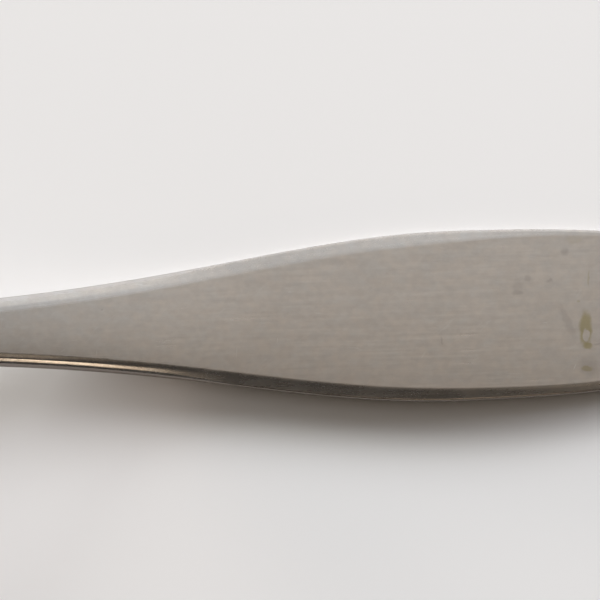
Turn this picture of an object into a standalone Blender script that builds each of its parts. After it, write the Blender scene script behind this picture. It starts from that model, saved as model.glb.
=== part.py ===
"""A one-piece stainless steel youth fork, lying face down on a flat surface.

The tines are at -X and the handle's end at +X. The back of the fork faces up. The front of the handle and
the tine tips rest on Z = 0, and the origin is on that surface, under the middle of the fork.
"""

import math

import bmesh
import bpy
import numpy as np
from mathutils import Vector
from mathutils.geometry import interpolate_bezier

# Lengths along the fork, from the tine tips to the end of the handle, in metres
TINE_LENGTH = 0.0375  # tips to the bottoms of the slots
HEAD_LENGTH = 0.0225  # bottoms of the slots to the narrowest place of the neck
SHANK_LENGTH = 0.0655  # narrowest place of the neck to the widest place of the handle
END_LENGTH = 0.0325  # widest place of the handle to its end

# Widths
TIP_SPAN = 0.0188
HEAD_WIDTH = 0.0208
NECK_WIDTH = 0.0054
HANDLE_WIDTH = 0.0170
END_BLUNTNESS = 0.0070  # reach of the curve that rounds the handle's end, to each side of the middle

# Tines
TINE_COUNT = 4
TINE_TIP_WIDTH = 0.0020
TINE_NOSE = 0.0018  # length of a tine's rounded tip
SLOT_WIDTH = 0.0021  # at its round bottom

# Side profile
SCOOP_DEPTH = 0.0125  # front of the head above the surface that the tips and the handle rest on
CREST_SETBACK = 0.0045  # bottoms of the slots to the highest place of the head
SWEEP_LENGTH = 0.0470  # narrowest place of the neck to where the handle starts to lie flat
TIP_PITCH = math.radians(27)
HEAD_DISH = 0.0007  # how far the sides of the head curve down, across the fork

# Thicknesses
TIP_THICKNESS = 0.0012
HEAD_THICKNESS = 0.0021
NECK_THICKNESS = 0.0025
HANDLE_THICKNESS = 0.0025
END_THICKNESS = 0.0015

# Edges of the back and the front: a shallow bevel, then a small round down to the wall
TINE_BEVEL = 0.0005
TINE_BEVEL_DROP = 0.0002
BACK_BEVEL = 0.0012
END_BEVEL = 0.0007
NECK_BEVEL_DROP = 0.00045
HANDLE_BEVEL_DROP = 0.00031
END_BEVEL_DROP = 0.00011
ROUND_LENGTH = 0.022  # narrowest place of the neck to where its round edges start to flatten
FLATTEN_LENGTH = 0.026  # over which they do
FADE_LENGTH = 0.022  # over which the handle's bevel runs out, from a third of this before its widest place
FRONT_BEVEL = 0.0007
FRONT_BEVEL_DROP = 0.0003
EDGE_RADIUS = 0.0002
NECK_EDGE_RADIUS = 0.0005
HANDLE_EDGE_RADIUS = 0.0001
NECK_CROWN = 0.0002  # how far the middle of the back stands above its sides
HANDLE_CROWN = 0.00025

# Fullness of the curves: the share of a curve's span that each of its ends runs on straight
TIP_FULLNESS = 0.27
CREST_FULLNESS = 0.32
NECK_RISE_FULLNESS = 0.28
REST_FULLNESS = 0.50
SHOULDER_FULLNESS = 0.50
NECK_FULLNESS = 0.40
SHANK_FULLNESS = 0.53
SWELL_FULLNESS = 0.265
END_FULLNESS = 0.55

# Facets
TINE_ROWS = 10
TINE_COLUMNS = 3
SLOT_STEPS = 4
SHOULDER_ROWS = 9
SHANK_ROWS = 22
END_ROWS = 7
NOSE_TURN = math.radians(50)  # where a rounded tip turns from its side into its end
END_TURN = 0.66  # the same on the handle's end, as a share of its curve
CURVE_STEPS = 400

# Shares of a wall that its rounded edges may take
MOST_OF_THICKNESS = 0.9
MOST_OF_HALF_WIDTH = 0.8
SEAM = 0.5  # height of the widest line of the edge, as a share of the thickness

STEEL_COLOUR = (0.60, 0.57, 0.53, 1.0)
STEEL_ROUGHNESS = 0.32

# Stations along the fork, from the tips
SLOT_X = TINE_LENGTH - SLOT_WIDTH / 2  # centre of the slots' round bottoms, where the head is widest
CREST_X = TINE_LENGTH + CREST_SETBACK
NECK_X = TINE_LENGTH + HEAD_LENGTH
REST_X = NECK_X + SWEEP_LENGTH
SWELL_X = NECK_X + SHANK_LENGTH
ROUND_X = NECK_X + ROUND_LENGTH
FLAT_X = ROUND_X + FLATTEN_LENGTH
FADE_X = SWELL_X - FADE_LENGTH / 3
FADED_X = FADE_X + FADE_LENGTH
END_X = SWELL_X + END_LENGTH

BACK, FRONT = 1, -1


def curve(start, start_handle, end_handle, end):
    """Points along a Bezier curve in a plane, as an array."""
    points = [Vector(p).to_3d() for p in (start, start_handle, end_handle, end)]
    return np.array([p[:2] for p in interpolate_bezier(*points, CURVE_STEPS)])


def s_curve(start, start_fullness, end_fullness, end):
    """A Bezier curve that is level at both of its ends."""
    span = end[0] - start[0]
    return curve(
        start,
        (start[0] + start_fullness * span, start[1]),
        (end[0] - end_fullness * span, end[1]),
        end,
    )


def eased(x, *stops):
    """The value at x between (station, value) stops, level at each stop."""
    stations, values = zip(*stops)
    after = min(max(np.searchsorted(stations, x), 1), len(stops) - 1)
    share = (x - stations[after - 1]) / (stations[after] - stations[after - 1])
    share = min(max(share, 0.0), 1.0)
    ease = share * share * (3 - 2 * share)
    return values[after - 1] + ease * (values[after] - values[after - 1])


# Outline of one side, from the slots to the end of the handle, as (station, half width)
SHOULDER = s_curve((SLOT_X, HEAD_WIDTH / 2), SHOULDER_FULLNESS, NECK_FULLNESS, (NECK_X, NECK_WIDTH / 2))
SHANK = s_curve((NECK_X, NECK_WIDTH / 2), SHANK_FULLNESS, SWELL_FULLNESS, (SWELL_X, HANDLE_WIDTH / 2))
END = curve(
    (SWELL_X, HANDLE_WIDTH / 2),
    (SWELL_X + END_FULLNESS * END_LENGTH, HANDLE_WIDTH / 2),
    (END_X, END_BLUNTNESS),
    (END_X, 0.0),
)


def side_profile(tip_height):
    """The front face's line from the tips to the end of the handle, as (station, height)."""
    reach = TIP_FULLNESS * CREST_X
    head = curve(
        (0.0, tip_height),
        (reach * math.cos(TIP_PITCH), tip_height + reach * math.sin(TIP_PITCH)),
        (CREST_X * (1 - CREST_FULLNESS), SCOOP_DEPTH),
        (CREST_X, SCOOP_DEPTH),
    )
    neck = s_curve((CREST_X, SCOOP_DEPTH), NECK_RISE_FULLNESS, REST_FULLNESS, (REST_X, 0.0))
    return np.concatenate([head, neck[1:], [(END_X, 0.0)]])


def thickness(x):
    return eased(
        x,
        (0.0, TIP_THICKNESS),
        (CREST_X, HEAD_THICKNESS),
        (NECK_X, NECK_THICKNESS),
        (SWELL_X, HANDLE_THICKNESS),
        (END_X, END_THICKNESS),
    )


def crown(x, side):
    """Height of the face's middle over its sides. The front is flat where the handle lies on it."""
    if side == FRONT:
        return eased(x, (SLOT_X, 0.0), (NECK_X, NECK_CROWN), (REST_X, 0.0))
    return eased(x, (SLOT_X, 0.0), (NECK_X, NECK_CROWN), (SWELL_X, HANDLE_CROWN), (END_X, 0.0))


def rim_sizes(x, side):
    """(bevel width, bevel drop, edge radius) at a station."""
    if side == FRONT:
        width = eased(x, (SLOT_X, TINE_BEVEL), (NECK_X, FRONT_BEVEL))
        drop = eased(x, (SLOT_X, TINE_BEVEL_DROP), (NECK_X, FRONT_BEVEL_DROP))
        return width, drop, EDGE_RADIUS
    width = eased(x, (SLOT_X, TINE_BEVEL), (NECK_X, BACK_BEVEL), (FADE_X, BACK_BEVEL), (FADED_X, END_BEVEL))
    drop = eased(
        x,
        (SLOT_X, TINE_BEVEL_DROP),
        (NECK_X, NECK_BEVEL_DROP),
        (ROUND_X, NECK_BEVEL_DROP),
        (FLAT_X, HANDLE_BEVEL_DROP),
        (FADE_X, HANDLE_BEVEL_DROP),
        (FADED_X, END_BEVEL_DROP),
    )
    radius = eased(
        x,
        (SLOT_X, EDGE_RADIUS),
        (NECK_X, NECK_EDGE_RADIUS),
        (ROUND_X + FLATTEN_LENGTH / 2, NECK_EDGE_RADIUS),
        (FLAT_X, HANDLE_EDGE_RADIUS),
    )
    return width, drop, radius


def rim(point, normal, side, half_width):
    """The edge's points (x, y, height over the front) from the outline in to the flat of one face."""
    x, y = point
    depth = thickness(x)
    width, drop, radius = rim_sizes(x, side)
    wanted = sum(sum(rim_sizes(x, s)[1:]) for s in (BACK, FRONT))
    squeeze = min(1.0, MOST_OF_THICKNESS * depth / wanted)
    drop, radius = drop * squeeze, radius * squeeze
    width = min(width, MOST_OF_HALF_WIDTH * half_width)
    inner = min(radius, width / 2)
    corner = 1 - math.sqrt(0.5)
    steps = [
        (0.0, SEAM * depth),
        (0.0, drop + radius),
        (corner * inner, drop + corner * radius),
        (inner, drop),
        (width, 0.0),
    ]
    points = []
    for index, (inset, below) in enumerate(steps):
        height = depth - below if side == BACK or index == 0 else below
        points.append((x - normal[0] * inset, y - normal[1] * inset, height))
    return points


def normal_of(tangent):
    """The unit normal on the left of a tangent."""
    length = math.hypot(*tangent)
    return -tangent[1] / length, tangent[0] / length


def half_width(x):
    """Half of the width over the tines and the head, up to the slots."""
    taper = ((SLOT_X - x) / SLOT_X) ** 2
    return (HEAD_WIDTH + (TIP_SPAN - HEAD_WIDTH) * taper) / 2


def tine_width(x):
    root = (HEAD_WIDTH - (TINE_COUNT - 1) * SLOT_WIDTH) / TINE_COUNT
    taper = ((SLOT_X - x) / SLOT_X) ** 2
    return root + (TINE_TIP_WIDTH - root) * taper


def tine_middle(tine, x):
    outermost = half_width(x) - tine_width(x) / 2
    return outermost * (2 * tine / (TINE_COUNT - 1) - 1)


def tine_edge(tine, x, hand):
    """(point, outward normal) on a tine's side: hand is +1 for its +Y side and -1 for its -Y side."""
    step = TINE_NOSE / 100

    def place(station):
        return tine_middle(tine, station) + hand * tine_width(station) / 2

    slope = (place(x + step) - place(x - step)) / (2 * step)
    normal = normal_of((1.0, slope))
    return (x, place(x)), (normal[0] * hand, normal[1] * hand)


def nose_edge(tine, turn):
    """(point, outward normal) round a tine's tip: turn runs from -90 to 90 degrees across the tip."""
    reach = tine_width(TINE_NOSE) / 2
    point = (TINE_NOSE * (1 - math.cos(turn)), tine_middle(tine, TINE_NOSE) + reach * math.sin(turn))
    normal = Vector((-math.cos(turn) / TINE_NOSE, math.sin(turn) / reach)).normalized()
    return point, tuple(normal)


def outline_edge(points, index, hand):
    """(point, outward normal) on the outline curve of one side of the fork."""
    low, high = max(index - 1, 0), min(index + 1, len(points) - 1)
    normal = normal_of(points[high] - points[low])
    x, y = points[index]
    return (x, hand * y), (normal[0], hand * normal[1])


class Sheet:
    """One face of the fork with its rounded edges: points, and the four-sided cells between them."""

    def __init__(self, side):
        self.side = side
        self.points = []
        self.seam = []  # points on the outline, which the back and the front share
        self.cells = []

    def add(self, point):
        self.points.append(point)
        return len(self.points) - 1

    def add_rim(self, edge, half):
        """Rim points at one place of the outline, from the outline inwards."""
        ids = [self.add(p) for p in rim(*edge, self.side, half)]
        self.seam.append(ids[0])
        return ids

    def add_core(self, left, right, shares, bow=None):
        """Points across the flat of the face, between the inner ends of two rims.

        shares run from -1 to 1. bow holds how far each point is moved along the fork.
        """
        start, end = (np.array(self.points[rim_ids[-1]]) for rim_ids in (left, right))
        middle, reach = (start + end) / 2, (end - start) / 2
        rise = crown(middle[0], self.side) * self.side
        ids = [left[-1]]
        for index in range(1, len(shares) - 1):
            share = shares[index]
            point = middle + reach * share
            point[2] += rise * (1 - share * share)
            if bow is not None:
                point[0] += bow[index]
            ids.append(self.add(tuple(point)))
        return [*ids, right[-1]]

    def fill(self, row, next_row):
        for a, b, c, d in zip(row, row[1:], next_row[1:], next_row):
            self.cells.append((a, b, c, d))

    def across(self, left, core, right):
        """One row of points from outline to outline."""
        return [*left[:-1], *core, *right[-2::-1]]


def even_shares(cells):
    return [2 * i / cells - 1 for i in range(cells + 1)]


def add_tine(sheet, tine):
    """One tine, from its rounded tip to the bottoms of the slots. Returns its last row's rims and core."""
    shares = even_shares(TINE_COLUMNS)
    half = tine_width(TINE_NOSE) / 2

    turns = [NOSE_TURN * share for share in shares]
    tip = [sheet.add_rim(nose_edge(tine, turn), half) for turn in turns]
    for here, there in zip(tip, tip[1:]):
        sheet.fill(there, here)
    core = [ids[-1] for ids in tip]
    bow = [sheet.points[i][0] - sheet.points[core[0]][0] for i in core]
    sides = tip[0], tip[-1]
    row = sheet.across(sides[0], core, sides[1])

    edges = []
    for turn in (NOSE_TURN + (math.pi / 2 - NOSE_TURN) * share for share in (1 / 3, 2 / 3)):
        edges.append((nose_edge(tine, -turn), nose_edge(tine, turn)))
    for x in np.linspace(TINE_NOSE, SLOT_X, TINE_ROWS):
        edges.append((tine_edge(tine, x, -1), tine_edge(tine, x, 1)))
    for index, (left, right) in enumerate(edges):
        half = abs(right[0][1] - left[0][1]) / 2
        sides = sheet.add_rim(left, half), sheet.add_rim(right, half)
        fade = 0.5 ** (index + 1)
        core = sheet.add_core(*sides, shares, [fade * b for b in bow])
        next_row = sheet.across(sides[0], core, sides[1])
        sheet.fill(row, next_row)
        row = next_row
    return sides[0], core, sides[1]


def add_slot(sheet, left_rim, right_rim):
    """The round bottom of the slot between two tines. Returns the inner points round it."""
    y = (sheet.points[left_rim[0]][1] + sheet.points[right_rim[0]][1]) / 2
    half = tine_width(SLOT_X) / 2
    rims = [left_rim]
    for step in range(1, SLOT_STEPS):
        turn = math.pi * step / SLOT_STEPS
        out = (math.sin(turn), -math.cos(turn))
        point = (SLOT_X + out[0] * SLOT_WIDTH / 2, y + out[1] * SLOT_WIDTH / 2)
        rims.append(sheet.add_rim((point, (-out[0], -out[1])), half))
    rims.append(right_rim)
    for here, there in zip(rims, rims[1:]):
        sheet.fill(there, here)
    return [ids[-1] for ids in rims]


def outline_rows():
    """(left edge, right edge) of each row from behind the slots to the handle's end, along the outline."""
    shoulder_start = np.searchsorted(SHOULDER[:, 0], TINE_LENGTH + TINE_BEVEL + SLOT_WIDTH / 2)
    pieces = (
        (SHOULDER, np.linspace(shoulder_start, CURVE_STEPS - 1, SHOULDER_ROWS)[:-1]),
        (SHANK, np.linspace(0, CURVE_STEPS - 1, SHANK_ROWS)[:-1]),
        (END, np.linspace(0, END_TURN * (CURVE_STEPS - 1), END_ROWS)),
    )
    for points, indices in pieces:
        for index in np.rint(indices).astype(int):
            yield outline_edge(points, index, -1), outline_edge(points, index, 1)


def add_handle(sheet, front_row, outer_rims):
    """The head behind the slots, the neck and the handle, up to its rounded end."""
    reach = sheet.points[front_row[-1]][1]
    shares = [sheet.points[i][1] / reach for i in front_row]
    row = sheet.across(outer_rims[0], front_row, outer_rims[1])
    edges = list(outline_rows())

    # The end's own rims come first, because the last rows bow out towards them
    last = int(round(END_TURN * (CURVE_STEPS - 1)))
    corner_y = END[last][1]
    reversed_end = END[::-1]
    end_rims = []
    for share in shares[1:-1]:
        index = int(np.searchsorted(reversed_end[:, 1], abs(share) * corner_y))
        edge = outline_edge(END, CURVE_STEPS - 1 - index, 1 if share >= 0 else -1)
        if index == 0:
            edge = (END_X, 0.0), (1.0, 0.0)
        end_rims.append(sheet.add_rim(edge, corner_y))
    for number, (left, right) in enumerate(edges):
        half = right[0][1]
        sides = sheet.add_rim(left, half), sheet.add_rim(right, half)
        from_end = len(edges) - 1 - number
        if from_end == 0:
            rims = [sides[0], *end_rims, sides[1]]
            core = [ids[-1] for ids in rims]
        else:
            fade = max(0.0, 1 - from_end / END_ROWS) ** 2
            bow = [0.0] + [fade * (sheet.points[ids[-1]][0] - END[last][0]) for ids in end_rims]
            core = sheet.add_core(*sides, shares, bow)
        next_row = sheet.across(sides[0], core, sides[1])
        sheet.fill(row, next_row)
        row = next_row
    for here, there in zip(rims, rims[1:]):
        sheet.fill(here, there)


def make_sheet(side):
    sheet = Sheet(side)
    tines = [add_tine(sheet, tine) for tine in range(TINE_COUNT)]
    front_row = list(tines[0][1])
    for left, right in zip(tines, tines[1:]):
        round_bottom = add_slot(sheet, left[2], right[0])
        front_row += round_bottom[1:-1] + right[1]
    add_handle(sheet, front_row, (tines[0][0], tines[-1][2]))
    return sheet


def formed(points, tip_height):
    """Flat points (station, y, height over the front) bent to the fork's side profile."""
    line = side_profile(tip_height)
    stations, y, height = np.array(points).T
    slope = np.gradient(line[:, 1], line[:, 0])
    tilt = np.arctan(np.interp(stations, line[:, 0], slope))
    rise = np.interp(stations, line[:, 0], line[:, 1])
    dish = [eased(x, (0.0, 0.0), (CREST_X, HEAD_DISH), (NECK_X, 0.0)) for x in stations]
    droop = np.array(dish) * (2 * y / HEAD_WIDTH) ** 2
    return np.column_stack(
        [
            stations - height * np.sin(tilt),
            y,
            rise + height * np.cos(tilt) - droop,
        ]
    )


def steel():
    material = bpy.data.materials.new("stainless_steel")
    material.use_nodes = True
    shader = material.node_tree.nodes["Principled BSDF"]
    shader.inputs["Base Color"].default_value = STEEL_COLOUR
    shader.inputs["Metallic"].default_value = 1.0
    shader.inputs["Roughness"].default_value = STEEL_ROUGHNESS
    return material


def make_fork():
    back, front = make_sheet(BACK), make_sheet(FRONT)

    # The tips' rounding lifts them a little, so they are lowered by that much to touch the surface
    lift = formed(front.points, 0.0)[:, 2][np.array(front.points)[:, 0] < SLOT_X].min()
    back_places, front_places = formed(back.points, -lift), formed(front.points, -lift)
    ends = np.concatenate([back_places, front_places])[:, 0]
    middle = (ends.min() + ends.max()) / 2

    shape = bmesh.new()
    shift = np.array([middle, 0.0, 0.0])
    back_vertices = [shape.verts.new(place - shift) for place in back_places]
    front_vertices = [shape.verts.new(place - shift) for place in front_places]
    for seam in front.seam:
        shape.verts.remove(front_vertices[seam])
        front_vertices[seam] = back_vertices[seam]
    for cell in back.cells:
        shape.faces.new([back_vertices[i] for i in cell[::-1]])
    for cell in front.cells:
        shape.faces.new([front_vertices[i] for i in cell])
    bmesh.ops.recalc_face_normals(shape, faces=shape.faces)

    mesh = bpy.data.meshes.new("fork")
    shape.to_mesh(mesh)
    shape.free()
    mesh.shade_smooth()
    mesh.materials.append(steel())
    fork = bpy.data.objects.new("fork", mesh)
    bpy.context.scene.collection.objects.link(fork)
    return fork


def main():
    for old in list(bpy.data.objects):
        bpy.data.objects.remove(old)
    make_fork()


main()
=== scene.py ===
"""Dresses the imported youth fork: fine satin steel, a pale table and soft light from the far side."""

import math

import bpy
import numpy as np
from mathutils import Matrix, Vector
from mathutils.geometry import interpolate_bezier


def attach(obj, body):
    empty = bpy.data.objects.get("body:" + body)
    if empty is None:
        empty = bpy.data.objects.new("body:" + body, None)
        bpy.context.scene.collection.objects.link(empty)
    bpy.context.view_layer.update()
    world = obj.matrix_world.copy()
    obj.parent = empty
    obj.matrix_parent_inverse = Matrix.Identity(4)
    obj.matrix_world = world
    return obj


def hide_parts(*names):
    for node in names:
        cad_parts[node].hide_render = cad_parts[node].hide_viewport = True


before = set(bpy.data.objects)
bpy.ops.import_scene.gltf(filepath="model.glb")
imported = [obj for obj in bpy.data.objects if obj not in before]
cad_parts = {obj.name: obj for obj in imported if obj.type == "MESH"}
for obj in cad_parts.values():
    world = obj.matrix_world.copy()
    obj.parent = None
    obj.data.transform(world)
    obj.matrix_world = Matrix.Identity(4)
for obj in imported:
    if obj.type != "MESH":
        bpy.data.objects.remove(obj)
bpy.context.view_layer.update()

# The fork's sizes, in metres, the same as those of its solid
TINE_LENGTH = 0.0375
HEAD_LENGTH = 0.0225
SHANK_LENGTH = 0.0655
END_LENGTH = 0.0325
TIP_SPAN = 0.0188
HEAD_WIDTH = 0.0208
NECK_WIDTH = 0.0054
HANDLE_WIDTH = 0.0170
END_BLUNTNESS = 0.0070
TINE_COUNT = 4
TINE_TIP_WIDTH = 0.0020
TINE_NOSE = 0.0018
SLOT_WIDTH = 0.0021
SCOOP_DEPTH = 0.0125
CREST_SETBACK = 0.0045
SWEEP_LENGTH = 0.0470
TIP_PITCH = math.radians(27)
HEAD_DISH = 0.0007
TIP_THICKNESS = 0.0012
HEAD_THICKNESS = 0.0021
NECK_THICKNESS = 0.0025
HANDLE_THICKNESS = 0.0025
END_THICKNESS = 0.0015
TINE_BEVEL = 0.0005
TINE_BEVEL_DROP = 0.0002
BACK_BEVEL = 0.0012
END_BEVEL = 0.0007
NECK_BEVEL_DROP = 0.00045
HANDLE_BEVEL_DROP = 0.00031
END_BEVEL_DROP = 0.00011
ROUND_LENGTH = 0.022
FLATTEN_LENGTH = 0.026
FADE_LENGTH = 0.022
FRONT_BEVEL = 0.0007
FRONT_BEVEL_DROP = 0.0003
EDGE_RADIUS = 0.0002
NECK_EDGE_RADIUS = 0.0005
HANDLE_EDGE_RADIUS = 0.0001
NECK_CROWN = 0.0002
HANDLE_CROWN = 0.00025
TIP_FULLNESS = 0.27
CREST_FULLNESS = 0.32
NECK_RISE_FULLNESS = 0.28
REST_FULLNESS = 0.50
SHOULDER_FULLNESS = 0.50
NECK_FULLNESS = 0.40
SHANK_FULLNESS = 0.53
SWELL_FULLNESS = 0.265
END_FULLNESS = 0.55

# The fine surface
BEVEL_LEAN = 0.0002  # where the bevel ends, it is narrower on the far edge and wider on the near one
BEVEL_LEAN_DROP = 0.00007
BEVEL_BULGE = 0.25  # how round the neck's bevel is, as a share of its drop
LEDGE_RISE = 1.5  # how strongly that lifts the bevel's outer edge, its middle and its inner edge
MIDDLE_RISE = 1.2
INNER_RISE = 2.0
BEVEL_SOFTNESS = 0.12  # share of the bevel's width over which its inner edge turns into the face
LEAST_EDGE_RADIUS = 0.0002
BROW_INSET = 0.45  # corner between wall and bevel, in from the wall, as a share of the edge radius
BROW_DROP = 0.44  # the same below the bevel's outer edge
HANDLE_POLISH = 0.3  # how much of the neck's edge polish is left along the handle
DULL_AND_SHADED_LINE = 0.00028  # least width of the dull line along the near edge, which is painted shade over the sheared edge's own dullness
DULL_AND_SHADED_ELSEWHERE = 0.04  # least share of that width, on edges that don't face the near side and so get little painted shade
DULL_AND_SHADED_STEEPNESS = 3.0  # how fast the dull line starts
BOW_FADE = 0.8  # how much of a tip's roundness is left in each next row of a tine
ROUNDING_PASSES = 2
TINE_ROWS = 56
TINE_COLUMNS = 6
SLOT_STEPS = 10
SHOULDER_ROWS = 44
SHANK_ROWS = 330
END_ROWS = 80
NOSE_TURN = math.radians(50)
NOSE_ROWS = 6
END_TURN = 0.66
CURVE_STEPS = 2400
MOST_OF_THICKNESS = 0.9
MOST_OF_HALF_WIDTH = 0.8
SEAM = 0.5

# Camera, in the photograph's square frame
CAMERA_ROLL = math.radians(2.07)
CAMERA_DISTANCE = 0.40
FRAME_WIDTH = 0.060  # what the frame spans at the fork
FRAME_CENTRE = (0.0313, 0.00215, 0.0020)
SENSOR = 36.0  # in millimetres

# The surroundings: (direction, brightness, warmth) from the near side (-1) to the far side (1),
# and what is left of that from the left (-1) to the right (1)
SURROUNDINGS = (
    (-1.0, 0.025, 0.10),
    (-0.40, 0.032, 0.10),
    (-0.28, 0.05, 0.18),
    (-0.20, 0.13, 0.28),
    (-0.12, 0.375, 0.15),
    (-0.06, 0.485, 0.11),
    (0.0, 0.497, 0.10),
    (0.10, 0.51, 0.09),
    (0.30, 0.53, 0.04),
    (0.57, 0.625, 0.01),
    (0.90, 0.74, 0.03),
)
SIDE_SHADE = (
    (-0.40, 0.18, 0.25),
    (-0.12, 1.0, 0.0),
    (0.15, 1.0, 0.0),
    (0.37, 0.855, -0.01),
    (0.45, 0.745, -0.02),
    (0.75, 0.25, 0.20),
)

# A pale room low down on the left and the right, which only the steel shows: from the left to the right,
# and what is left of that upwards
SIDE_ROOM = (
    (-1.0, 0.50, 0.04),
    (-0.48, 0.45, 0.04),
    (-0.28, 0.0, 0.0),
    (0.56, 0.0, 0.0),
    (0.70, 0.50, 0.04),
)
ROOM_HEIGHT = (
    (0.0, 1.0, 0.0),
    (0.60, 1.0, 0.0),
    (0.80, 0.0, 0.0),
)

# Colours
COOL_STEEL = (0.795, 0.795, 0.79, 1.0)
WARM_STEEL = (0.835, 0.795, 0.755, 1.0)
DARK_STEEL = (0.66, 0.64, 0.625, 1.0)
# Dark steel for the dull line along the near edge: partly the sheared edge's own dullness, partly painted
# shade
DULL_AND_SHADED_STEEL = (0.24, 0.21, 0.185, 1.0)
HAIRLINE_STEEL = (0.93, 0.94, 0.94, 1.0)
SCRATCHED_STEEL = (0.95, 0.95, 0.94, 1.0)
SMUDGED_STEEL = (0.465, 0.443, 0.437, 1.0)
STAINED_STEEL = (0.50, 0.455, 0.252, 1.0)
PALE_TABLE = (0.83, 0.823, 0.816, 1.0)
GOLDEN = (1.0, 0.79, 0.58)

TABLE_SIZE = 40.0
MILLIMETRES = 1000.0  # in a metre
FAR_OFF = 1000.0  # in millimetres, where no mark shows

# Marks on the back of the handle: (x, y, half length, half width) in millimetres, turn in degrees, strength
STAINS = (
    (59.72, -1.75, 2.20, 0.80, 88, 0.75),
    (59.9, -3.45, 0.62, 0.40, 0, 0.70),
    (59.7, -5.7, 0.70, 0.35, 0, 0.50),
    (59.1, 1.1, 0.30, 0.15, 0, 0.35),
    (60.2, 3.3, 1.00, 0.12, 90, 0.30),
    (58.9, 7.2, 1.00, 0.50, 0, 0.12),
)
STAIN_GAP = (59.75, -2.4, 0.75, 0.40, 90, 0.95)
SMUDGES = (
    (53.1, 2.8, 0.75, 0.85, 0, 0.20),
    (53.0, 2.1, 0.80, 0.34, 0, 0.34),
    (57.9, 6.0, 0.55, 0.55, 0, 0.42),
    (54.1, 3.5, 0.48, 0.42, 0, 0.30),
    (56.3, 3.2, 0.42, 0.28, 0, 0.36),
    (57.9, -0.9, 2.60, 0.55, -66, 0.30),
    (59.9, -5.5, 1.30, 1.30, 0, 0.34),
    (60.9, -3.35, 0.60, 0.14, 0, 0.35),
    (45.3, -2.4, 0.60, 0.15, -78, 0.30),
    (48.4, -1.8, 0.75, 0.14, 0, 0.22),
    (11.6, 1.9, 0.14, 0.14, 0, 0.30),
)
SCRATCHES = (
    (58.5, -5.5, 0.42, 0.05, 65, 0.80),
    (55.7, -1.0, 0.28, 0.05, 0, 0.60),
    (43.4, -3.8, 0.50, 0.05, 56, 0.50),
    (28.9, -1.8, 0.40, 0.04, 80, 0.50),
    (24.8, -2.8, 0.75, 0.04, 85, 0.50),
    (10.9, -2.4, 0.40, 0.04, 88, 0.60),
)

# Stations along the fork, from the tips
SLOT_X = TINE_LENGTH - SLOT_WIDTH / 2
CREST_X = TINE_LENGTH + CREST_SETBACK
NECK_X = TINE_LENGTH + HEAD_LENGTH
REST_X = NECK_X + SWEEP_LENGTH
SWELL_X = NECK_X + SHANK_LENGTH
ROUND_X = NECK_X + ROUND_LENGTH
FLAT_X = ROUND_X + FLATTEN_LENGTH
FADE_X = SWELL_X - FADE_LENGTH / 3
FADED_X = FADE_X + FADE_LENGTH
END_X = SWELL_X + END_LENGTH

BACK, FRONT = 1, -1


def curve(start, start_handle, end_handle, end):
    points = [Vector(p).to_3d() for p in (start, start_handle, end_handle, end)]
    return np.array([p[:2] for p in interpolate_bezier(*points, CURVE_STEPS)])


def s_curve(start, start_fullness, end_fullness, end):
    """A Bezier curve that is level at both of its ends."""
    span = end[0] - start[0]
    return curve(
        start,
        (start[0] + start_fullness * span, start[1]),
        (end[0] - end_fullness * span, end[1]),
        end,
    )


def eased(x, *stops):
    """Values at x between (station, value) stops, level at each stop."""
    stations, values = np.array(stops).T
    after = np.clip(np.searchsorted(stations, x), 1, len(stations) - 1)
    share = (x - stations[after - 1]) / (stations[after] - stations[after - 1])
    share = np.clip(share, 0.0, 1.0)
    ease = share * share * (3 - 2 * share)
    return values[after - 1] + ease * (values[after] - values[after - 1])


SHOULDER = s_curve((SLOT_X, HEAD_WIDTH / 2), SHOULDER_FULLNESS, NECK_FULLNESS, (NECK_X, NECK_WIDTH / 2))
SHANK = s_curve((NECK_X, NECK_WIDTH / 2), SHANK_FULLNESS, SWELL_FULLNESS, (SWELL_X, HANDLE_WIDTH / 2))
END = curve(
    (SWELL_X, HANDLE_WIDTH / 2),
    (SWELL_X + END_FULLNESS * END_LENGTH, HANDLE_WIDTH / 2),
    (END_X, END_BLUNTNESS),
    (END_X, 0.0),
)
OUTLINE = np.concatenate([SHOULDER, SHANK[1:], END[1:]])


def side_profile(tip_height):
    """The front face's line from the tips to the end of the handle, as (station, height)."""
    reach = TIP_FULLNESS * CREST_X
    head = curve(
        (0.0, tip_height),
        (reach * math.cos(TIP_PITCH), tip_height + reach * math.sin(TIP_PITCH)),
        (CREST_X * (1 - CREST_FULLNESS), SCOOP_DEPTH),
        (CREST_X, SCOOP_DEPTH),
    )
    neck = s_curve((CREST_X, SCOOP_DEPTH), NECK_RISE_FULLNESS, REST_FULLNESS, (REST_X, 0.0))
    return np.concatenate([head, neck[1:], [(END_X, 0.0)]])


def thickness(x):
    return eased(
        x,
        (0.0, TIP_THICKNESS),
        (CREST_X, HEAD_THICKNESS),
        (NECK_X, NECK_THICKNESS),
        (SWELL_X, HANDLE_THICKNESS),
        (END_X, END_THICKNESS),
    )


def crown(x, side):
    if side == FRONT:
        return eased(x, (SLOT_X, 0.0), (NECK_X, NECK_CROWN), (REST_X, 0.0))
    return eased(x, (SLOT_X, 0.0), (NECK_X, NECK_CROWN), (SWELL_X, HANDLE_CROWN), (END_X, 0.0))


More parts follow.
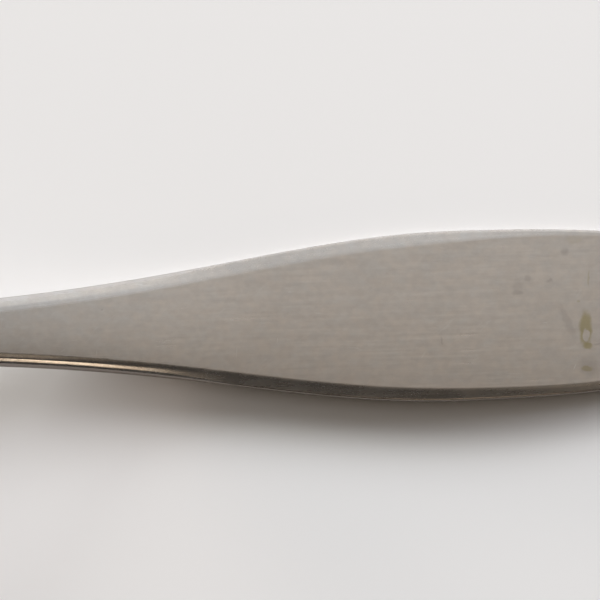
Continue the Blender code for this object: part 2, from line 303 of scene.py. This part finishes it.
def rim_sizes(x, side, lean):
    """(bevel width, bevel drop, edge radius) at a station.

    lean is 1 on the far edge and -1 on the near one.
    """
    if side == FRONT:
        width = eased(x, (SLOT_X, TINE_BEVEL), (NECK_X, FRONT_BEVEL))
        drop = eased(x, (SLOT_X, TINE_BEVEL_DROP), (NECK_X, FRONT_BEVEL_DROP))
        return width, drop, EDGE_RADIUS
    width = eased(
        x,
        (SLOT_X, TINE_BEVEL),
        (NECK_X, BACK_BEVEL),
        (FADE_X, BACK_BEVEL),
        (FADED_X, END_BEVEL - lean * BEVEL_LEAN),
    )
    drop = eased(
        x,
        (SLOT_X, TINE_BEVEL_DROP),
        (NECK_X, NECK_BEVEL_DROP),
        (ROUND_X, NECK_BEVEL_DROP),
        (FLAT_X, HANDLE_BEVEL_DROP),
        (FADE_X, HANDLE_BEVEL_DROP),
        (FADED_X, END_BEVEL_DROP - lean * BEVEL_LEAN_DROP),
    )
    radius = eased(
        x,
        (SLOT_X, EDGE_RADIUS),
        (NECK_X, NECK_EDGE_RADIUS),
        (ROUND_X + FLATTEN_LENGTH / 2, NECK_EDGE_RADIUS),
        (FLAT_X, HANDLE_EDGE_RADIUS),
    )
    return width, drop, radius


def bevel_bulge(x):
    """How round the bevel is: fully on the neck, and not at all where it has turned flat."""
    return eased(x, (SLOT_X, 0.0), (NECK_X, BEVEL_BULGE), (ROUND_X, BEVEL_BULGE), (FLAT_X, 0.0))


def short_of(corner, neighbour, distance):
    """The point at a distance from a corner towards its neighbour, at most half way."""
    span = np.subtract(neighbour, corner)
    return corner + span * min(0.5, distance / math.hypot(*span))


def corners_cut(line, passes):
    """A line with its corners cut, so that they turn into soft curves. Its two ends stay."""
    for _ in range(passes):
        cut = np.empty((2 * len(line) - 2, 2))
        cut[0::2] = 0.75 * line[:-1] + 0.25 * line[1:]
        cut[1::2] = 0.25 * line[:-1] + 0.75 * line[1:]
        cut[0], cut[-1] = line[0], line[-1]
        line = cut
    return line


def rim(point, normal, side, half_width):
    """The edge from the outline in to the flat of one face.

    Each point is (x, y, height over the front, share of edge polish, share of the dull line with its
    painted shade).
    """
    x, y = point
    depth = thickness(x)
    back, front = rim_sizes(x, BACK, normal[1]), rim_sizes(x, FRONT, normal[1])
    squeeze = min(1.0, MOST_OF_THICKNESS * depth / (back[1] + back[2] + front[1] + front[2]))
    width, drop, radius = back if side == BACK else front
    width = min(width, MOST_OF_HALF_WIDTH * half_width / (1 + 2 * BEVEL_SOFTNESS))
    drop, radius = drop * squeeze, min(max(radius * squeeze, LEAST_EDGE_RADIUS), width / 2)
    soft = width * BEVEL_SOFTNESS
    bulge = bevel_bulge(x)
    seam, wall = (0.0, SEAM * depth), (0.0, drop + radius)
    ledge = (radius, drop * (1 - LEDGE_RISE * bulge))
    brow = (BROW_INSET * radius, ledge[1] + BROW_DROP * radius)
    middle = ((width + radius) / 2, drop * (0.5 - MIDDLE_RISE * bulge))
    corners = [
        seam,
        short_of(wall, seam, radius / 2),
        wall,
        brow,
        ledge,
        short_of(ledge, middle, radius),
        middle,
        (width - soft, drop * (1 - INNER_RISE * bulge) * soft / (width - radius)),
        (width + soft, 0.0),
        (width + 2 * soft, 0.0),
    ]
    inset, below = corners_cut(np.array(corners), ROUNDING_PASSES).T
    polish = eased(x, (ROUND_X, 1.0), (FLAT_X, HANDLE_POLISH))
    edge = polish * np.clip((width + 2 * soft - inset) / (2 * soft), 0.0, 1.0)
    # The dull line reaches furthest in on the near edge: painted shade, over the sheared edge's own
    # dullness
    dull_and_shaded_reach = max(radius, DULL_AND_SHADED_LINE) * max(DULL_AND_SHADED_ELSEWHERE, -normal[1])
    dull_and_shaded = np.clip(DULL_AND_SHADED_STEEPNESS * (1 - inset / dull_and_shaded_reach), 0.0, 1.0)
    height = depth - below if side == BACK else below
    height[0] = depth * (1 - SEAM)
    return np.column_stack([x - normal[0] * inset, y - normal[1] * inset, height, edge, dull_and_shaded])


def normal_of(tangent):
    length = math.hypot(*tangent)
    return -tangent[1] / length, tangent[0] / length


def tine_taper(x):
    return ((SLOT_X - x) / SLOT_X) ** 2


def tine_width(x):
    root = (HEAD_WIDTH - (TINE_COUNT - 1) * SLOT_WIDTH) / TINE_COUNT
    return root + (TINE_TIP_WIDTH - root) * tine_taper(x)


def tine_middle(tine, x):
    half_width = (HEAD_WIDTH + (TIP_SPAN - HEAD_WIDTH) * tine_taper(x)) / 2
    outermost = half_width - tine_width(x) / 2
    return outermost * (2 * tine / (TINE_COUNT - 1) - 1)


def tine_edge(tine, x, hand):
    """(point, outward normal) on a tine's side: hand is +1 for its +Y side and -1 for its -Y side."""
    step = TINE_NOSE / 100

    def place(station):
        return tine_middle(tine, station) + hand * tine_width(station) / 2

    slope = (place(x + step) - place(x - step)) / (2 * step)
    normal = normal_of((1.0, slope))
    return (x, place(x)), (normal[0] * hand, normal[1] * hand)


def nose_edge(tine, turn):
    """(point, outward normal) round a tine's tip: turn runs from -90 to 90 degrees across the tip."""
    reach = tine_width(TINE_NOSE) / 2
    point = (TINE_NOSE * (1 - math.cos(turn)), tine_middle(tine, TINE_NOSE) + reach * math.sin(turn))
    normal = Vector((-math.cos(turn) / TINE_NOSE, math.sin(turn) / reach)).normalized()
    return point, tuple(normal)


def outline_edge(points, index, hand):
    """(point, outward normal) on the outline curve of one side of the fork."""
    low, high = max(index - 1, 0), min(index + 1, len(points) - 1)
    normal = normal_of(points[high] - points[low])
    x, y = points[index]
    return (x, hand * y), (normal[0], hand * normal[1])


class Sheet:
    """One face of the fork with its rounded edges: points, and the four-sided cells between them."""

    def __init__(self, side):
        self.side = side
        self.points = []
        self.seam = []  # points on the outline, which the back and the front share
        self.cells = []

    def add(self, point):
        self.points.append(point)
        return len(self.points) - 1

    def add_rim(self, edge, half):
        ids = [self.add(p) for p in rim(*edge, self.side, half)]
        self.seam.append(ids[0])
        return ids

    def add_core(self, left, right, shares, bow):
        """Points across the face, between the inner ends of two rims. bow moves each one along the fork."""
        start, end = self.points[left[-1]], self.points[right[-1]]
        middle, reach = (start + end) / 2, (end - start) / 2
        inner = [self.add(middle + reach * s + (b, 0, 0, 0, 0)) for s, b in zip(shares[1:-1], bow[1:-1])]
        return [left[-1], *inner, right[-1]]

    def fill(self, row, next_row):
        self.cells += zip(row, row[1:], next_row[1:], next_row)


def across(left, core, right):
    """One row of points from outline to outline."""
    return [*left[:-1], *core, *right[-2::-1]]


def add_tine(sheet, tine):
    """One tine, from its rounded tip to the bottoms of the slots. Returns its last row's rims and core."""
    shares = np.linspace(-1, 1, TINE_COLUMNS + 1)
    half = tine_width(TINE_NOSE) / 2
    tip = [sheet.add_rim(nose_edge(tine, NOSE_TURN * share), half) for share in shares]
    for here, there in zip(tip, tip[1:]):
        sheet.fill(there, here)
    core = [ids[-1] for ids in tip]
    bow = np.array([sheet.points[i][0] - sheet.points[core[0]][0] for i in core])
    row = across(tip[0], core, tip[-1])

    edges = []
    for turn in np.linspace(NOSE_TURN, math.pi / 2, NOSE_ROWS)[1:-1]:
        edges.append((nose_edge(tine, -turn), nose_edge(tine, turn)))
    for x in np.linspace(TINE_NOSE, SLOT_X, TINE_ROWS):
        edges.append((tine_edge(tine, x, -1), tine_edge(tine, x, 1)))
    for index, (left, right) in enumerate(edges, 1):
        half = (right[0][1] - left[0][1]) / 2
        sides = sheet.add_rim(left, half), sheet.add_rim(right, half)
        core = sheet.add_core(*sides, shares, bow * BOW_FADE**index)
        next_row = across(sides[0], core, sides[1])
        sheet.fill(row, next_row)
        row = next_row
    return sides[0], core, sides[1]


def add_slot(sheet, left_rim, right_rim):
    """The round bottom of the slot between two tines. Returns the inner points round it."""
    y = (sheet.points[left_rim[0]][1] + sheet.points[right_rim[0]][1]) / 2
    half = tine_width(SLOT_X) / 2
    rims = [left_rim]
    for turn in np.linspace(0, math.pi, SLOT_STEPS + 1)[1:-1]:
        out = math.sin(turn), -math.cos(turn)
        point = SLOT_X + out[0] * SLOT_WIDTH / 2, y + out[1] * SLOT_WIDTH / 2
        rims.append(sheet.add_rim((point, (-out[0], -out[1])), half))
    rims.append(right_rim)
    for here, there in zip(rims, rims[1:]):
        sheet.fill(there, here)
    return [ids[-1] for ids in rims]


def outline_rows():
    """(left edge, right edge) of each row from behind the slots to the handle's end, along the outline."""
    first = np.searchsorted(SHOULDER[:, 0], TINE_LENGTH + TINE_BEVEL + SLOT_WIDTH / 4)
    last = CURVE_STEPS - 1
    pieces = (
        (SHOULDER, np.linspace(first, last, SHOULDER_ROWS)[:-1]),
        (SHANK, np.linspace(0, last, SHANK_ROWS)[:-1]),
        (END, np.linspace(0, END_TURN * last, END_ROWS)),
    )
    for points, indices in pieces:
        for index in np.rint(indices).astype(int):
            yield outline_edge(points, index, -1), outline_edge(points, index, 1)


def end_edge(share):
    """(point, outward normal) across the handle's end: share runs from -1 to 1 between its corners."""
    corner_y = END[round(END_TURN * (CURVE_STEPS - 1))][1]
    from_tip = np.searchsorted(END[::-1, 1], abs(share) * corner_y)
    if from_tip == 0:
        return (END_X, 0.0), (1.0, 0.0)
    return outline_edge(END, CURVE_STEPS - 1 - from_tip, math.copysign(1, share))


def add_handle(sheet, first_row, outer_rims):
    """The head behind the slots, the neck and the handle, up to its rounded end."""
    reach = sheet.points[first_row[-1]][1]
    shares = np.array([sheet.points[i][1] / reach for i in first_row])
    row = across(outer_rims[0], first_row, outer_rims[1])
    edges = list(outline_rows())
    corner_x, corner_y = edges[-1][1][0]

    end_rims = [sheet.add_rim(end_edge(share), corner_y) for share in shares[1:-1]]
    bow = np.zeros(len(shares))
    bow[1:-1] = [sheet.points[ids[-1]][0] - corner_x for ids in end_rims]
    for number, (left, right) in enumerate(edges, 1):
        sides = sheet.add_rim(left, right[0][1]), sheet.add_rim(right, right[0][1])
        if number < len(edges):
            fade = max(0.0, 1 - (len(edges) - number) / END_ROWS) ** 2
            core = sheet.add_core(*sides, shares, fade * bow)
        else:
            core = [ids[-1] for ids in (sides[0], *end_rims, sides[1])]
        next_row = across(sides[0], core, sides[1])
        sheet.fill(row, next_row)
        row = next_row
    rims = [sides[0], *end_rims, sides[1]]
    for here, there in zip(rims, rims[1:]):
        sheet.fill(here, there)


def make_sheet(side):
    sheet = Sheet(side)
    tines = [add_tine(sheet, tine) for tine in range(TINE_COUNT)]
    first_row = list(tines[0][1])
    for left, right in zip(tines, tines[1:]):
        round_bottom = add_slot(sheet, left[2], right[0])
        first_row += round_bottom[1:-1] + right[1]
    add_handle(sheet, first_row, (tines[0][0], tines[-1][2]))
    return sheet


def formed(sheet, tip_height):
    """A sheet's points, crowned across and bent to the fork's side profile."""
    stations, y, height = np.array(sheet.points).T[:3]
    half_width = np.maximum(np.interp(stations, *OUTLINE.T), TINE_NOSE / 10)
    bulge = np.clip(1 - (y / half_width) ** 2, 0, 1)
    height = height + sheet.side * crown(stations, sheet.side) * bulge
    line = side_profile(tip_height)
    slope = np.gradient(line[:, 1], line[:, 0])
    tilt = np.arctan(np.interp(stations, line[:, 0], slope))
    rise = np.interp(stations, line[:, 0], line[:, 1])
    dish = eased(stations, (0.0, 0.0), (CREST_X, HEAD_DISH), (NECK_X, 0.0))
    droop = dish * (2 * y / HEAD_WIDTH) ** 2
    return np.column_stack(
        [
            stations - height * np.sin(tilt),
            y,
            rise + height * np.cos(tilt) - droop,
        ]
    )


def make_fork():
    """The whole fork as one closed surface, in the place of its solid."""
    back, front = make_sheet(BACK), make_sheet(FRONT)
    on_tines = np.array(front.points)[:, 0] < SLOT_X
    lift = formed(front, 0.0)[on_tines, 2].min()
    back_places, front_places = formed(back, -lift), formed(front, -lift)
    ends = np.concatenate([back_places, front_places])[:, 0]
    shift = np.array([(ends.min() + ends.max()) / 2, 0.0, 0.0])

    # The front's outline points are the back's, so its own are left out
    own = np.ones(len(front_places), bool)
    own[front.seam] = False
    front_ids = np.where(own, len(back_places) + np.cumsum(own) - 1, np.arange(len(own)))
    cells = [cell[::-1] for cell in back.cells] + [front_ids[list(cell)] for cell in front.cells]
    places = np.concatenate([back_places, front_places[own]]) - shift
    finish = np.concatenate([np.array(back.points), np.array(front.points)[own]])[:, 3:]

    mesh = bpy.data.meshes.new("fork_surface")
    mesh.from_pydata(places, [], [[int(i) for i in cell] for cell in cells])
    for name, values in zip(("edge", "dull_and_shaded"), finish.T):
        mesh.attributes.new(name, "FLOAT", "POINT").data.foreach_set("value", np.ascontiguousarray(values))
    mesh.shade_smooth()
    fork = bpy.data.objects.new("fork_surface", mesh)
    bpy.context.scene.collection.objects.link(fork)
    return fork


def add(tree, kind, inputs, **settings):
    """A new shader node. Its inputs are linked where a socket is given, and otherwise set."""
    node = tree.nodes.new(kind)
    for name, value in settings.items():
        setattr(node, name, value)
    for name, value in inputs.items():
        if isinstance(value, bpy.types.NodeSocket):
            tree.links.new(value, node.inputs[name])
        else:
            node.inputs[name].default_value = value
    return node


def math_node(tree, operation, first, second):
    return add(tree, "ShaderNodeMath", {0: first, 1: second}, operation=operation).outputs["Value"]


def vector_node(tree, operation, first, second):
    return add(tree, "ShaderNodeVectorMath", {0: first, 1: second}, operation=operation).outputs["Vector"]


def scaled(tree, vector, factor):
    inputs = {0: vector, "Scale": factor}
    return add(tree, "ShaderNodeVectorMath", inputs, operation="SCALE").outputs["Vector"]


def mixed(tree, share, colour, other):
    node = add(tree, "ShaderNodeMix", {0: share, 6: colour, 7: other}, data_type="RGBA")
    return node.outputs[2]


def ranged(tree, value, low, high, from_low=0.0, from_high=1.0, **settings):
    inputs = {"Value": value, "From Min": from_low, "From Max": from_high, "To Min": low, "To Max": high}
    return add(tree, "ShaderNodeMapRange", inputs, **settings).outputs["Result"]


def noise(tree, place, stretch, detail):
    """Noise whose grains are 1 / stretch millimetres long along X, Y and Z."""
    inputs = {"Vector": vector_node(tree, "MULTIPLY", place, stretch), "Scale": 1.0, "Detail": detail}
    return add(tree, "ShaderNodeTexNoise", inputs).outputs["Fac"]


def hairlines(tree, place, turn):
    """A mask of fine scratches, all about the same way round."""
    inputs = {"Vector": place, "Rotation": (0, 0, math.radians(turn))}
    turned = add(tree, "ShaderNodeMapping", inputs).outputs["Vector"]
    wander = noise(tree, turned, (0.10, 2.2, 0.1), 1.0)
    line = add(tree, "ShaderNodeMath", {0: wander, 1: 0.5, 2: 0.012}, operation="COMPARE").outputs["Value"]
    breaks = noise(tree, turned, (0.35, 0.9, 0.1), 2.0)
    return math_node(tree, "MULTIPLY", line, ranged(tree, breaks, 0.0, 1.0, 0.58, 0.66))


def spot(tree, place, mark, softness):
    """A mask of one oval mark that fades over the outer part of its size."""
    x, y, half_length, half_width, turn, strength = mark
    inputs = {
        "Vector": place,
        "Location": (x, y, 0),
        "Rotation": (0, 0, math.radians(turn)),
        "Scale": (half_length, half_width, FAR_OFF),
    }
    turned = add(tree, "ShaderNodeMapping", inputs, vector_type="TEXTURE").outputs["Vector"]
    distance = add(tree, "ShaderNodeVectorMath", {0: turned}, operation="LENGTH").outputs["Value"]
    return ranged(tree, distance, strength, 0.0, 1 - softness, 1.0, interpolation_type="SMOOTHSTEP")


def marks_place(tree, place, normal):
    """Coordinates for the marks: a little ragged, and only on the fork's back."""
    inputs = {"Vector": place, "Scale": 1.6, "Detail": 3.0}
    ragged = add(tree, "ShaderNodeTexNoise", inputs).outputs["Color"]
    shift = scaled(tree, vector_node(tree, "SUBTRACT", ragged, (0.5, 0.5, 0.5)), 0.5)
    upwards = add(tree, "ShaderNodeSeparateXYZ", {"Vector": normal}).outputs["Z"]
    off_back = ranged(tree, upwards, FAR_OFF, 0.0, 0.2, 0.3)
    away = add(tree, "ShaderNodeCombineXYZ", {"X": off_back}).outputs["Vector"]
    return vector_node(tree, "ADD", vector_node(tree, "ADD", place, shift), away)


def steel():
    """Satin steel brushed along the fork, with worn edges, fine scratches, smudges and a dried stain."""
    material = bpy.data.materials.new("satin_steel")
    material.use_nodes = True
    tree = material.node_tree
    coordinates = add(tree, "ShaderNodeTexCoord", {}).outputs
    place = scaled(tree, coordinates["Object"], MILLIMETRES)
    edge = add(tree, "ShaderNodeAttribute", {}, attribute_name="edge").outputs["Fac"]
    dull_and_shaded = add(tree, "ShaderNodeAttribute", {}, attribute_name="dull_and_shaded").outputs["Fac"]

    brushing = noise(tree, place, (0.15, 3.2, 3.2), 6.0)
    mottling = noise(tree, place, (0.30, 0.40, 0.40), 4.0)
    clouding = noise(tree, place, (1.3, 1.6, 1.0), 3.0)
    tint = noise(tree, place, (0.70, 0.90, 0.50), 3.0)
    wear = noise(tree, place, (2.2, 3.0, 3.0), 4.0)
    scratched = math_node(tree, "MAXIMUM", hairlines(tree, place, 7), hairlines(tree, place, -38))

    along = add(tree, "ShaderNodeSeparateXYZ", {"Vector": place}).outputs["X"]
    towards_handle = ranged(tree, along, 0.1, 0.7, -5, 25)
    warmth = math_node(tree, "ADD", towards_handle, ranged(tree, tint, -0.5, 0.5, 0.3, 0.7))
    colour = mixed(tree, warmth, COOL_STEEL, WARM_STEEL)
    colour = mixed(tree, ranged(tree, mottling, 0.35, 0.0, 0.25, 0.70), colour, DARK_STEEL)
    colour = mixed(tree, ranged(tree, brushing, 0.0, 0.10, 0.3, 0.7), colour, DARK_STEEL)
    colour = mixed(tree, ranged(tree, clouding, 0.0, 0.42, 0.35, 0.65), colour, DARK_STEEL)
    colour = mixed(tree, math_node(tree, "MULTIPLY", scratched, 0.22), colour, HAIRLINE_STEEL)
    # The dull line along the near edge: painted shade, partly the sheared edge's own dullness
    colour = mixed(tree, dull_and_shaded, colour, DULL_AND_SHADED_STEEL)
    on_back = marks_place(tree, place, coordinates["Normal"])
    for mark in SMUDGES:
        colour = mixed(tree, spot(tree, on_back, mark, 0.7), colour, SMUDGED_STEEL)
    clean = colour
    for mark in STAINS:
        colour = mixed(tree, spot(tree, on_back, mark, 0.5), colour, STAINED_STEEL)
    colour = mixed(tree, spot(tree, on_back, STAIN_GAP, 0.3), colour, clean)
    for mark in SCRATCHES:
        colour = mixed(tree, spot(tree, place, mark, 0.5), colour, SCRATCHED_STEEL)

    satin = ranged(tree, math_node(tree, "ADD", brushing, mottling), 0.26, 0.38, 0.6, 1.4)
    polish = ranged(tree, wear, 0.14, 0.24)
    roughness = add(tree, "ShaderNodeMix", {0: edge, 2: satin, 3: polish}).outputs[0]

    relief = math_node(tree, "SUBTRACT", brushing, math_node(tree, "MULTIPLY", scratched, 0.6))
    worn = math_node(tree, "MULTIPLY", edge, wear)
    relief = math_node(tree, "ADD", relief, math_node(tree, "MULTIPLY", worn, 0.25))
    bump = add(tree, "ShaderNodeBump", {"Height": relief, "Strength": 0.05, "Distance": 0.0001})

    shader = tree.nodes["Principled BSDF"]
    shader.inputs["Metallic"].default_value = 1.0
    tree.links.new(colour, shader.inputs["Base Color"])
    tree.links.new(roughness, shader.inputs["Roughness"])
    tree.links.new(bump.outputs["Normal"], shader.inputs["Normal"])
    return material


def make_floor():
    bpy.ops.mesh.primitive_plane_add(size=TABLE_SIZE)
    floor = bpy.context.object
    floor.name = "table"
    material = bpy.data.materials.new("pale_table")
    material.use_nodes = True
    shader = material.node_tree.nodes["Principled BSDF"]
    shader.inputs["Base Color"].default_value = PALE_TABLE
    shader.inputs["Roughness"].default_value = 0.9
    shader.inputs["Specular IOR Level"].default_value = 0.1
    floor.data.materials.append(material)


def gradient(tree, along, stops):
    """Colours along a direction that runs from -1 to 1, from (place, brightness, warmth) stops."""
    share = ranged(tree, along, 0.0, 1.0, from_low=-1.0)
    ramp = add(tree, "ShaderNodeValToRGB", {"Fac": share})
    elements = ramp.color_ramp.elements
    elements.remove(elements[1])
    for number, (place, level, warmth) in enumerate(stops):
        element = elements[0] if number == 0 else elements.new((place + 1) / 2)
        element.position = (place + 1) / 2
        element.color = (level * (1 + warmth), level, level * (1 - warmth), 1.0)
    return ramp.outputs["Color"]


def make_world():
    """Surroundings that are bright on the far side, grey overhead, and dark brown on the near side.

    The steel also shows a pale room low down on the left and the right.
    """
    world = bpy.data.worlds.new("studio")
    bpy.context.scene.world = world
    world.use_nodes = True
    tree = world.node_tree
    direction = add(tree, "ShaderNodeTexCoord", {}).outputs["Generated"]
    axes = add(tree, "ShaderNodeSeparateXYZ", {"Vector": direction}).outputs
    lengthwise = gradient(tree, axes["X"], SIDE_SHADE)
    crosswise = gradient(tree, axes["Y"], SURROUNDINGS)
    shaded = vector_node(tree, "MULTIPLY", crosswise, lengthwise)
    room_sides = gradient(tree, axes["X"], SIDE_ROOM)
    room_height = gradient(tree, axes["Z"], ROOM_HEIGHT)
    room = vector_node(tree, "MULTIPLY", room_sides, room_height)
    on_steel = add(tree, "ShaderNodeLightPath", {}).outputs["Is Glossy Ray"]
    room = vector_node(tree, "MULTIPLY", room, on_steel)
    colour = vector_node(tree, "MAXIMUM", shaded, room)
    tree.links.new(colour, tree.nodes["Background"].inputs["Color"])


def make_lamp(kind, name, place, target, power, colour):
    lamp = bpy.data.lights.new(name, kind)
    lamp.energy = power
    lamp.color = colour
    holder = bpy.data.objects.new(name, lamp)
    holder.location = place
    holder.rotation_euler = (Vector(target) - Vector(place)).to_track_quat("-Z", "Y").to_euler()
    bpy.context.scene.collection.objects.link(holder)
    return holder


def make_window(name, place, target, size, power, colour):
    """A rectangular lamp that faces its target."""
    window = make_lamp("AREA", name, place, target, power, colour)
    window.data.shape = "RECTANGLE"
    window.data.size, window.data.size_y = size
    return window


def make_light():
    make_world()
    for name, place, size, power, colour in (
        ("low_side_window", (-1.22, 1.03, 0.11), (0.70, 0.18), 25.2, (1.0, 0.79, 0.65)),
        ("side_window", (-1.20, 1.00, 0.34), (0.70, 0.42), 25.7, (0.955, 0.985, 1.0)),
        ("back_window", (-0.30, 1.43, 0.65), (1.10, 0.60), 2.8, (0.96, 1.0, 0.66)),
        ("far_window", (1.08, 1.08, 0.49), (1.75, 0.28), 44.9, (0.907, 0.927, 1.0)),
    ):
        window = make_window(name, place, FRAME_CENTRE, size, power, colour)
        window.visible_glossy = False

    # A pool of light on the table in front of the neck
    pool = (-0.008, -0.028, 0.0)
    fill = make_lamp("SPOT", "near_fill", (-0.28, -0.32, 0.85), pool, 2.2, (1.0, 0.945, 0.92))
    fill.data.spot_size = math.radians(4.9)
    fill.data.spot_blend = 1.0
    fill.data.shadow_soft_size = 0.012
    fill.visible_glossy = False

    # Two glows that the neck's near edge reflects
    neck = (0.0115, 0.0, 0.001)
    make_window("warm_glow", (0.090, -0.505, 0.270), neck, (0.115, 0.10), 0.075, GOLDEN)
    make_window("dim_glow", (0.190, -0.260, 0.490), neck, (0.12, 0.12), 0.013, GOLDEN)


def make_camera():
    """A camera that looks straight down, turned so that the fork lies as in the photograph."""
    camera = bpy.data.cameras.new("camera")
    camera.sensor_width = SENSOR
    camera.lens = SENSOR * CAMERA_DISTANCE / FRAME_WIDTH
    camera.clip_start = 0.01
    holder = bpy.data.objects.new("camera", camera)
    holder.location = Vector(FRAME_CENTRE) + Vector((0.0, 0.0, CAMERA_DISTANCE))
    holder.rotation_euler = (0.0, 0.0, -CAMERA_ROLL)
    bpy.context.scene.collection.objects.link(holder)
    bpy.context.scene.camera = holder


fork = make_fork()
fork.data.materials.append(steel())
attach(fork, "root")
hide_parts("fork")
make_floor()
make_light()
make_camera()
bpy.context.scene.view_settings.view_transform = "Standard"
